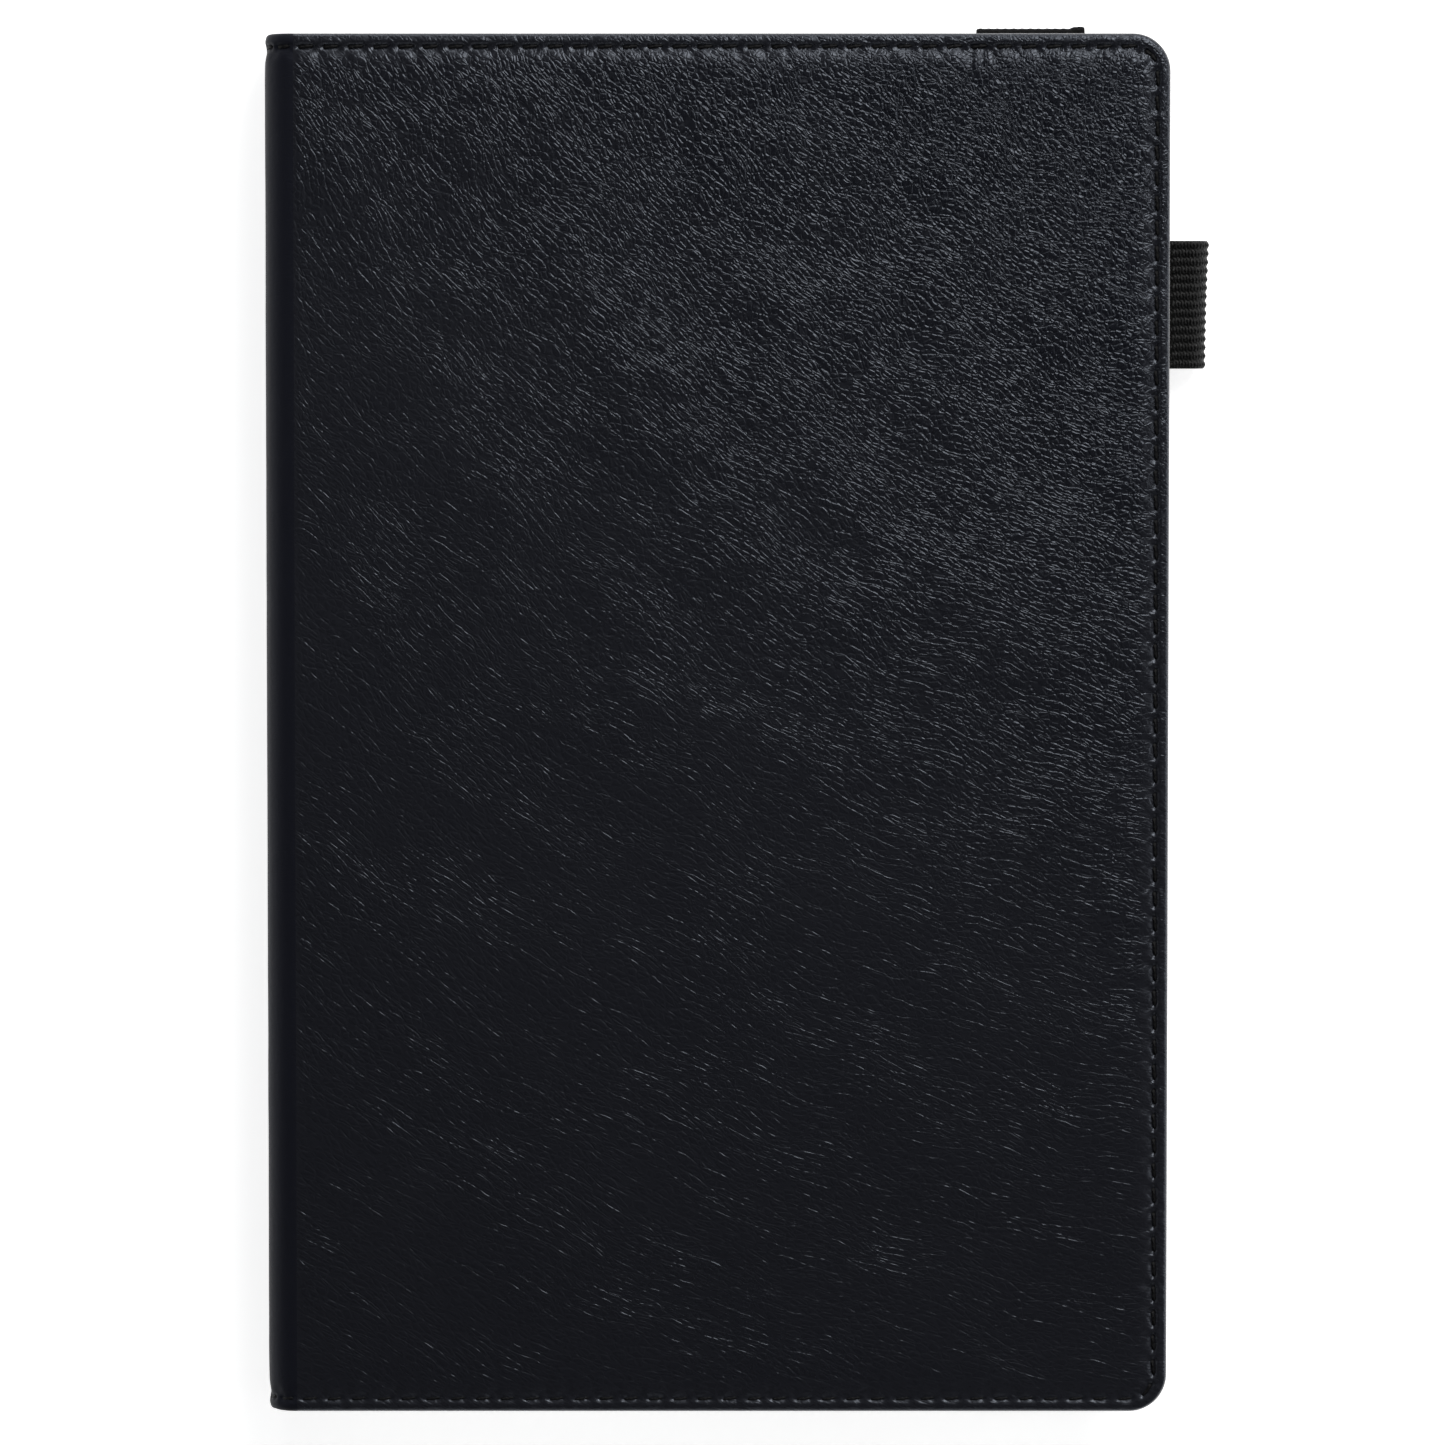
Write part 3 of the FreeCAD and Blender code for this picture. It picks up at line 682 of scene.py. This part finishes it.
# ------------------------------------------------------------------- linings
def lining_panel(name, node_name, body, front):
    X, Y, d, s = panel_field(0.0, 0.7, 1.3, 0.35)
    e = d - 0.7
    z = -0.42 * (1 - np.sqrt(np.clip(1 - np.clip(1 - e / 0.5, 0, 1) ** 2, 0, 1)))
    z += seam_relief(d, s, groove=0.26, pit=0.16, pull=0.05)
    z += 0.02 * vnoise(X / 11, Y / 14, 41) * smooth(4, 12, d) - 0.02
    z = np.clip(z, -0.47, 0)
    if front:
        zt, zb = T - Z_IN - z, T - Z_LIN + 0 * z
    else:
        zt, zb = Z_IN + z, Z_LIN + 0 * z
    top, bot = np.stack([X, Y, zt], -1), np.stack([X, Y, zb], -1)
    return shell(name, top, bot, LINING, flip=front, body=body, slot="lining", replaces=[node_name])


lining_panel("front_cover_lining", "front_lining", "front_cover", True)
lining_panel("back_cover_lining", "back_lining", "back_cover", False)


def sleeve(name, node_name, body, front, x0, slot_h):
    X, Y, d, s = panel_field(x0, 0.7, 1.2, 0.35)
    # distance from the mouth
    m = X - x0
    e = d - 0.7
    lift = smooth(2.9, 7.5, d)                       # off the lining once past the seam
    sag = 0.10 * lift * np.exp(-(Y / 70.0) ** 2) * np.exp(-m / 30.0)
    h = 0.42 + (slot_h + 0.18) * lift + sag          # face height above the lining
    h += 0.03 * vnoise(X / 8, Y / 10, 51) * lift
    h = np.minimum(h, slot_h + 0.6)
    h -= 0.30 * (1 - np.sqrt(np.clip(1 - np.clip(1 - e / 0.45, 0, 1) ** 2, 0, 1)))
    h -= 0.28 * (1 - np.sqrt(np.clip(1 - np.clip(1 - m / 0.5, 0, 1) ** 2, 0, 1)))
    h += seam_relief(d, s, groove=0.14, pit=0.12, pull=0.05)
    h -= 0.14 * np.exp(-((m - 2.4) / 0.35) ** 2) * smooth(3, 4, d)
    h = np.maximum(h, 0.12)
    back = np.maximum(np.minimum(h - 0.08, slot_h * lift), 0.02)
    if front:
        zt, zb = T - Z_IN - h, T - Z_IN - back
    else:
        zt, zb = Z_IN + h, Z_IN + back
    top, bot = np.stack([X, Y, zt], -1), np.stack([X, Y, zb], -1)
    g = grain_coords(X, Y, 0.45 + 0 * X)
    ob = shell(name, top, bot, POCKET, gtop=g, flip=front, body=body, slot="lining", replaces=[node_name])
    return ob


sleeve("document_sleeve", "front_sleeve", "front_cover", True, doc_x, 0.4)
sleeve("refill_sleeve", "back_sleeve", "back_cover", False, sleeve_x, 0.6)


def card_pocket(name, node_name, z_face, y_top, thick=0.4, step=0.1):
    x0, x1, y0 = 23.0, 119.0, -100.0
    xs = lines(x0, x1, 1.3, 0.35, at_a=True, at_b=True, reach=3.5)
    ys = lines(y0, y_top, 1.3, 0.35, at_a=True, at_b=True, reach=4.5)
    X, Y = np.meshgrid(xs, ys, indexing="ij")
    side = np.minimum(np.minimum(X - x0, x1 - X), Y - y0)
    m = y_top - Y
    h = thick + step + 0 * X
    h -= 0.10 * (1 - smooth(1.5, 6.0, side))
    h -= 0.16 * (1 - np.sqrt(np.clip(1 - np.clip(1 - side / 0.4, 0, 1) ** 2, 0, 1)))
    h -= 0.22 * (1 - np.sqrt(np.clip(1 - np.clip(1 - m / 0.5, 0, 1) ** 2, 0, 1)))
    h -= 0.13 * np.exp(-((m - 2.2) / 0.32) ** 2)
    h -= 0.10 * np.exp(-((side - 1.5) / 0.4) ** 2)
    h += 0.02 * vnoise(X / 7, Y / 6, 61)
    h = np.clip(h, 0.15, thick + step)
    back = step * smooth(1.5, 5.0, side)
    top = np.stack([X, Y, z_face - h], -1)
    bot = np.stack([X, Y, z_face - back], -1)
    g = grain_coords(X, Y, 0.5 + 0 * X)
    ob = shell(name, top, bot, POCKET, gtop=g, flip=True, body="front_cover", slot="leather",
               replaces=[node_name])
    return ob


z_p = T - 4.8
for nm, yt in (("upper", -16.0), ("middle", -31.0), ("lower", -46.0)):
    card_pocket("card_pocket_%s_leather" % nm, "card_pocket_" + nm, z_p, yt)
    z_p -= 0.5
parts = []
for xc in (24.5, 117.5):
    n = int((-46.0 + 100.0 - 4) / 3.92)
    for k in range(n):
        yc = -100 + 3.5 + (k + 0.5) * 3.92
        parts.append(thread_tube(stitch_run(xc, yc, 0, 1, z_p + 0.12, -1, length=3.2, rise=0.26), 0.17))
n = int((96 - 6) / 3.92)
for k in range(n):
    xc = 71.0 - n * 3.92 / 2 + (k + 0.5) * 3.92
    parts.append(thread_tube(stitch_run(xc, -98.5, 1, 0, z_p + 0.12, -1, length=3.2, rise=0.26), 0.17))
v, f = join(parts)
mesh("card_pocket_thread", v, f, THREAD, body="front_cover", slot="thread", replaces=["pocket_stitching"])


def lining_arc(a, x_wall, z_flat):
    """Section of the spine lining, arc length a from the back crease."""
    r = -x_wall
    q = r * math.pi / 2
    wall = T - 2 * (z_flat + r)
    f = np.clip(a, 0, q) / r
    x, z, nx, nz = -r * np.sin(f), z_flat + r - r * np.cos(f), -np.sin(f), -np.cos(f)
    mid = (a > q) & (a < q + wall)
    x = np.where(mid, x_wall, x); z = np.where(mid, z_flat + r + a - q, z)
    nx = np.where(mid, -1.0, nx); nz = np.where(mid, 0.0, nz)
    up = a >= q + wall
    f = math.pi / 2 - (a - q - wall) / r
    x = np.where(up, -r * np.sin(f), x); z = np.where(up, T - z_flat - r + r * np.cos(f), z)
    nx = np.where(up, -np.sin(f), nx); nz = np.where(up, np.cos(f), nz)
    return x, z, nx, nz


X_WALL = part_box("spine_lining")[0].x * 1000.0 - SX
QL = -X_WALL * math.pi / 2
WL = T - 2 * (Z_LIN - X_WALL)


def spine_lining(name, node_name, a0, a1, body=None, joint=None):
    aa = np.linspace(a0, a1, 14)
    ys = lines(-(HH - 0.7), HH - 0.7, 1.4, 0.35, at_a=True, at_b=True)
    A, Y = np.meshgrid(aa, ys, indexing="ij")
    px, pz, nx, nz = lining_arc(A, X_WALL, Z_LIN)
    e = HH - 0.7 - np.abs(Y)
    rib = 0.04 * vnoise(Y / 6, A / 2.2, 71)
    t_in = 0.5 - 0.25 * (1 - smooth(0, 0.6, e)) + rib * smooth(1, 5, e) * np.sin(np.pi * (A - a0) / (a1 - a0))
    inner = np.stack([px - nx * t_in, Y, pz - nz * t_in], -1)
    outer = np.stack([px, Y, pz], -1)
    ob = shell(name, outer, inner, LINING, flip=False, body=body, slot="lining", replaces=[node_name])
    if joint:
        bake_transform(ob)
    return ob


spine_lining("back_hinge_inlay", "back_hinge_lining", 0, QL,
             joint=("back_cover", "spine", P(0, Z_LIN), P(X_WALL, Z_LIN - X_WALL)))
spine_lining("spine_inlay", "spine_lining", QL, QL + WL, body="spine")
spine_lining("front_hinge_inlay", "front_hinge_lining", QL + WL, 2 * QL + WL,
             joint=("spine", "front_cover", P(X_WALL, T - Z_LIN + X_WALL), P(0, T - Z_LIN)))


# ------------------------------------------------------------------- elastic
def strap(path, normal, across, w, thick, ribs, closed, dots=0.8, depth=0.11, skew=None):
    """Ribbed webbing: path points and outward normals (k,3), width along 'across'."""
    n_w = int(ribs * (8)) + 1
    t = np.linspace(0, 1, n_w)
    seg = np.concatenate([[0], np.cumsum(np.linalg.norm(np.diff(path, axis=0), axis=1))])
    a, tt = np.meshgrid(np.arange(len(path)), t, indexing="ij")
    rib = np.sin(math.pi * ribs * tt) ** 2
    row = np.floor(ribs * tt)
    beat = 0.6 + 0.4 * np.cos(2 * math.pi * seg[a] / dots + math.pi * row) if dots else 1.0
    edge = np.clip(np.minimum(tt, 1 - tt) * w / 0.45, 0, 1)
    edge = np.sqrt(np.clip(1 - (1 - edge) ** 2, 0, 1))
    half = thick / 2
    up = (half - depth + depth * rib * beat) * (0.35 + 0.65 * edge)
    base = path[a] + np.asarray(across)[None, None, :] * ((tt - 0.5) * w)[..., None]
    if skew is not None:
        base = base + skew(base)
    nn = normal[a]
    outer = base + nn * up[..., None]
    inner = base - nn * up[..., None]
    ni, nj = tt.shape
    verts = np.concatenate([outer.reshape(-1, 3), inner.reshape(-1, 3)])
    n = ni * nj
    rows = ni if closed else ni - 1
    faces = []
    for i in range(rows):
        k = (i + 1) % ni
        j = np.arange(nj - 1)
        faces.append(np.stack([i * nj + j, k * nj + j, k * nj + j + 1, i * nj + j + 1], -1))
        faces.append(np.stack([n + i * nj + j, n + i * nj + j + 1, n + k * nj + j + 1, n + k * nj + j], -1))
        faces.append(np.array([[i * nj, n + i * nj, n + k * nj, k * nj],
                               [i * nj + nj - 1, k * nj + nj - 1, n + k * nj + nj - 1, n + i * nj + nj - 1]]))
    if not closed:
        for i, fl in ((0, True), (ni - 1, False)):
            j = np.arange(nj - 1)
            q = np.stack([i * nj + j, i * nj + j + 1, n + i * nj + j + 1, n + i * nj + j], -1)
            faces.append(q if fl else q[:, ::-1])
    return verts, np.concatenate(faces).tolist()


def rounded_path(pts, radii, step, closed):
    """Polyline in the XZ or YZ plane with rounded corners, evenly stepped; returns places and left normals."""
    pts = [np.array(p, float) for p in pts]
    out = []
    n = len(pts)
    for i, p in enumerate(pts):
        if not closed and i in (0, n - 1):
            out.append(p)
            continue
        a, b = pts[i - 1], pts[(i + 1) % n]
        u, v_ = (a - p) / np.linalg.norm(a - p), (b - p) / np.linalg.norm(b - p)
        r = radii[i]
        half = math.acos(np.clip(u @ v_, -1, 1)) / 2
        cut = r / math.tan(half)
        p0, p1 = p + u * cut, p + v_ * cut
        bis = (u + v_) / np.linalg.norm(u + v_)
        c = p + bis * (r / math.sin(half))
        a0, a1 = math.atan2(*(p0 - c)[::-1]), math.atan2(*(p1 - c)[::-1])
        da = (a1 - a0 + math.pi) % (2 * math.pi) - math.pi
        m = max(int(abs(da) * r / step), 5)
        out += [c + r * np.array([math.cos(a0 + da * k / m), math.sin(a0 + da * k / m)]) for k in range(m + 1)]
    if closed:
        out.append(out[0])
    p = np.array(out)
    keep = np.concatenate([[True], np.linalg.norm(np.diff(p, axis=0), axis=1) > 1e-6])
    p = p[keep]
    seg = np.concatenate([[0], np.cumsum(np.linalg.norm(np.diff(p, axis=0), axis=1))])
    m = int(round(seg[-1] / step))
    s = np.linspace(0, seg[-1], m + 1)
    q = np.stack([np.interp(s, seg, p[:, k]) for k in (0, 1)], -1)
    if closed:
        q = q[:-1]
        t = np.roll(q, -1, 0) - np.roll(q, 1, 0)
    else:
        t = np.gradient(q, axis=0)
    t /= np.linalg.norm(t, axis=1, keepdims=True)
    return q, np.stack([t[:, 1], -t[:, 0]], -1)


llo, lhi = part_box("pen_loop")
X_OUT = lhi.x * 1000 - SX
LY0, LY1, LZ1 = llo.y * 1000, lhi.y * 1000, lhi.z * 1000
th = 0.85
q, nn = rounded_path([(W + 0.1 + th / 2, 0.1 + th / 2), (X_OUT - th / 2, 0.1 + th / 2),
                      (X_OUT - th / 2, LZ1 - th / 2), (W + 0.1 + th / 2, LZ1 - th / 2)],
                     [1.0, 2.2, 2.5, 1.0], 0.085, True)
path = np.stack([q[:, 0], 0 * q[:, 0] + (LY0 + LY1) / 2, q[:, 1]], -1)
nrm = np.stack([nn[:, 0], 0 * nn[:, 0], nn[:, 1]], -1)


def loop_skew(b):
    """The loop stands out a little less at its lower end."""
    t = (b[..., 0] - W) / (X_OUT - W)
    low = (LY1 - b[..., 1]) / (LY1 - LY0)
    out = np.zeros_like(b)
    out[..., 0] = -0.6 * np.clip(t, 0, 1) * low - 0.12 * np.clip(t, 0, 1) * np.sin(np.pi * low)
    return out


loop = strap(path, nrm, (0, 1, 0), LY1 - LY0, th, 15, True, dots=0.52, depth=0.26, skew=loop_skew)
tail_p = np.stack([np.linspace(W - 2.2, W + 0.5, 20), np.full(20, (LY0 + LY1) / 2), np.full(20, 2.05)], -1)
tail = strap(tail_p, np.tile([[0, 0, 1.0]], (20, 1)), (0, 1, 0), LY1 - LY0 - 0.5, 1.4, 15, False)
v, f = join([loop, tail])
mesh("pen_loop_webbing", v, f, ELASTIC, body="back_cover", slot="elastic", replaces=["pen_loop"], sharp=60)

clo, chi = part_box("closure_band")
BX0, BX1 = clo.x * 1000 - SX, chi.x * 1000 - SX
r_w = (3.05 - 0.32) / 2
yw = chi.y * 1000 - 0.36 - r_w
q, nn = rounded_path([(HH - 8.0, 3.05), (yw + r_w, 3.05), (yw + r_w, 0.32), (-yw - r_w, 0.32),
                      (-yw - r_w, 3.05), (-HH + 8.0, 3.05)],
                     [0, r_w * 0.98, r_w * 0.98, r_w * 0.98, r_w * 0.98, 0], 0.34, False)
path = np.stack([np.full(len(q), (BX0 + BX1) / 2), q[:, 0], q[:, 1]], -1)
nrm = np.stack([0 * nn[:, 0], nn[:, 0], nn[:, 1]], -1)


def band_fold(b):
    """The band's outer corner is turned up a little where it goes round an edge."""
    out = np.zeros_like(b)
    out[..., 1] = 0.3 * np.sign(b[..., 1]) * smooth(BX1 - 2.4, BX1 - 1.5, b[..., 0]) * smooth(HH, HH + 0.8, np.abs(b[..., 1]))
    return out


v, f = strap(path, nrm, (1, 0, 0), BX1 - BX0, 0.58, 13, False, dots=0.9, depth=0.08, skew=band_fold)
mesh("closure_band_webbing", v, f, BAND, body="back_cover", slot="elastic", replaces=["closure_band"], sharp=60)


# -------------------------------------------------------------------- refill
def slab(x0, x1, y0, y1, z0, z1, r):
    n = 5
    pts = []
    for cx, cy, a0 in ((x1 - r, y1 - r, 0), (x0 + 0.05, y1 - 0.05, 90), (x0 + 0.05, y0 + 0.05, 180), (x1 - r, y0 + r, 270)):
        rr = r if cx > x0 + 1 else 0.05
        for k in range(n):
            a = math.radians(a0 + 90 * k / (n - 1))
            pts.append((cx + rr * math.cos(a), cy + rr * math.sin(a)))
    m = len(pts)
    v = [(x, y, z0) for x, y in pts] + [(x, y, z1) for x, y in pts]
    f = [list(range(m))[::-1], [m + k for k in range(m)]]
    f += [[k, (k + 1) % m, m + (k + 1) % m, m + k] for k in range(m)]
    return np.array(v), f


plo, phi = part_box("refill_page_block")
px0, px1 = plo.x * 1000 - SX, phi.x * 1000 - SX
py, pz0, pz1 = phi.y * 1000, plo.z * 1000, phi.z * 1000
leaves = 42
parts = []
for k in range(leaves):
    a, b = pz0 + (pz1 - pz0) * k / leaves, pz0 + (pz1 - pz0) * (k + 1) / leaves
    j = RNG.uniform(0, 0.16, 3)
    lift = 0.0 if k else 0.0
    parts.append(slab(px0, px1 - j[0], -py + j[1], py - j[2], a, b - 0.035 + lift, 3.5))
v, f = join(parts)
mesh("refill_pages", v, f, PAPER, body="back_cover", slot="paper", replaces=["refill_page_block"], sharp=30)

tlo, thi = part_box("refill_binding_tape")
tx0, tx1 = tlo.x * 1000 - SX, thi.x * 1000 - SX
tz0, tz1 = tlo.z * 1000, thi.z * 1000
q, nn = rounded_path([(tx1, tz1 - 0.1), (tx0 + 0.1, tz1 - 0.1), (tx0 + 0.1, tz0 + 0.02)], [0, 0.5, 0], 0.35, False)
ys = np.linspace(-py + 0.2, py - 0.2, 90)
A, Y = np.meshgrid(np.arange(len(q)), ys, indexing="ij")
wv = 0.01 * vnoise(A / 9.0, Y / 12, 81)
o1 = np.stack([q[A, 0] - nn[A, 0] * (0.09 + wv), Y, q[A, 1] - nn[A, 1] * (0.09 + wv)], -1)
o2 = np.stack([q[A, 0] + nn[A, 0] * 0.09, Y, q[A, 1] + nn[A, 1] * 0.09], -1)
shell("refill_tape", o2, o1, TAPE, body="back_cover", slot="tape", replaces=["refill_binding_tape"])

for n, m in (("refill_back_card", CARD), ("back_board", BOARD), ("front_board", BOARD), ("back_infill", BOARD),
             ("front_infill", BOARD), ("spine_board", BOARD), ("back_foam", FOAM), ("front_foam", FOAM)):
    ob = nodes[n]
    if not ob.material_slots:
        ob.data.materials.append(m)
    for sl in ob.material_slots:
        sl.material = m


# --------------------------------------------------------------------- stage
fm, nt, p = new_mat("floor_paint")
tc = nt.nodes.new("ShaderNodeTexCoord")
nz = tex(nt, "Noise", tc.outputs["Object"], 3.0, 3.0)
nt.links.new(mix_col(nt, nz, (0.93, 0.93, 0.935), (0.96, 0.96, 0.96)), p.inputs["Base Color"])
p.inputs["Roughness"].default_value = 0.9
p.inputs["Specular IOR Level"].default_value = 0.1
p.inputs["Emission Color"].default_value = (1.0, 1.0, 1.0, 1.0)
p.inputs["Emission Strength"].default_value = 0.8
fl = bpy.data.meshes.new("floor")
fl.from_pydata([(-6, -6, -0.0002), (6, -6, -0.0002), (6, 6, -0.0002), (-6, 6, -0.0002)], [], [(0, 1, 2, 3)])
fl.materials.append(fm)
floor = bpy.data.objects.new("floor", fl)
bpy.context.scene.collection.objects.link(floor)

# a low pale wall all round, beyond the lights
wm, nt, p = new_mat("wall_paint")
tc = nt.nodes.new("ShaderNodeTexCoord")
nz = tex(nt, "Noise", tc.outputs["Object"], 1.0, 2.0)
nt.links.new(mix_col(nt, nz, (0.92, 0.92, 0.925), (0.95, 0.95, 0.95)), p.inputs["Base Color"])
p.inputs["Roughness"].default_value = 0.95
p.inputs["Specular IOR Level"].default_value = 0.05
p.inputs["Emission Color"].default_value = (1.0, 1.0, 1.0, 1.0)
p.inputs["Emission Strength"].default_value = 0.8
ring = [(5.8 * math.cos(2 * math.pi * k / 96), 5.8 * math.sin(2 * math.pi * k / 96)) for k in range(96)]
wl = bpy.data.meshes.new("wall")
wl.from_pydata([(x, y, z) for z in (-0.0002, 1.3) for x, y in ring], [],
               [((k + 1) % 96, k, 96 + k, 96 + (k + 1) % 96) for k in range(96)])
wl.materials.append(wm)
for m in (fm, wm):
    m.cycles.emission_sampling = "NONE"
wall = bpy.data.objects.new("wall", wl)
bpy.context.scene.collection.objects.link(wall)

world = bpy.data.worlds.new("studio")
bpy.context.scene.world = world
world.use_nodes = True
bg = world.node_tree.nodes["Background"]
bg.inputs[0].default_value = (0.95, 0.97, 1.0, 1)
bg.inputs[1].default_value = 0.04


def area(name, loc, target, size, power, color=(1, 1, 1), size_y=None):
    d = bpy.data.lights.new(name, "AREA")
    d.energy = power
    d.color = color
    d.size = size
    if size_y:
        d.shape = "RECTANGLE"
        d.size_y = size_y
    ob = bpy.data.objects.new(name, d)
    ob.location = loc
    ob.rotation_mode = "QUATERNION"
    ob.rotation_quaternion = (Vector(target) - Vector(loc)).to_track_quat("-Z", "Y")
    bpy.context.scene.collection.objects.link(ob)
    return ob


area("key", (0.33, 0.54, 0.72), (0.03, 0.04, 0.0), 0.42, 4.6, (1.0, 0.995, 0.98))
area("top_strip", (0.15, 1.5, 0.75), (0.0, 0.05, 0.0), 1.2, 7.0, (1.0, 1.0, 1.0), 0.35)
area("side_left", (-1.9, 0.2, 0.9), (0, 0, 0), 1.0, 0.7, (0.97, 0.98, 1.0))
area("side_right", (1.9, 0.1, 0.9), (0, 0, 0), 1.0, 6.0, (0.97, 0.98, 1.0))
area("low", (0.0, -2.1, 1.4), (0, 0, 0), 1.0, 2.0, (0.97, 0.98, 1.0))

view_set = bpy.context.scene.view_settings
view_set.view_transform = "Standard"
view_set.look = "None"

# -------------------------------------------------------------------- camera
cam_d = bpy.data.cameras.new("camera")
cam = bpy.data.objects.new("camera", cam_d)
bpy.context.scene.collection.objects.link(cam)
bpy.context.scene.camera = cam
DIST, TILT = 1.1, math.radians(3.0)
aim = Vector(((68.1 + SX) / 1000.0, 0.00058, T / 1000.0))
cam.location = aim + Vector((0, math.sin(TILT), math.cos(TILT))) * DIST
cam.rotation_euler = (-TILT, 0, 0)
cam_d.sensor_width = 36.0
cam_d.lens = 36.0 * DIST / 0.2302
cam_d.clip_start, cam_d.clip_end = 0.05, 20.0
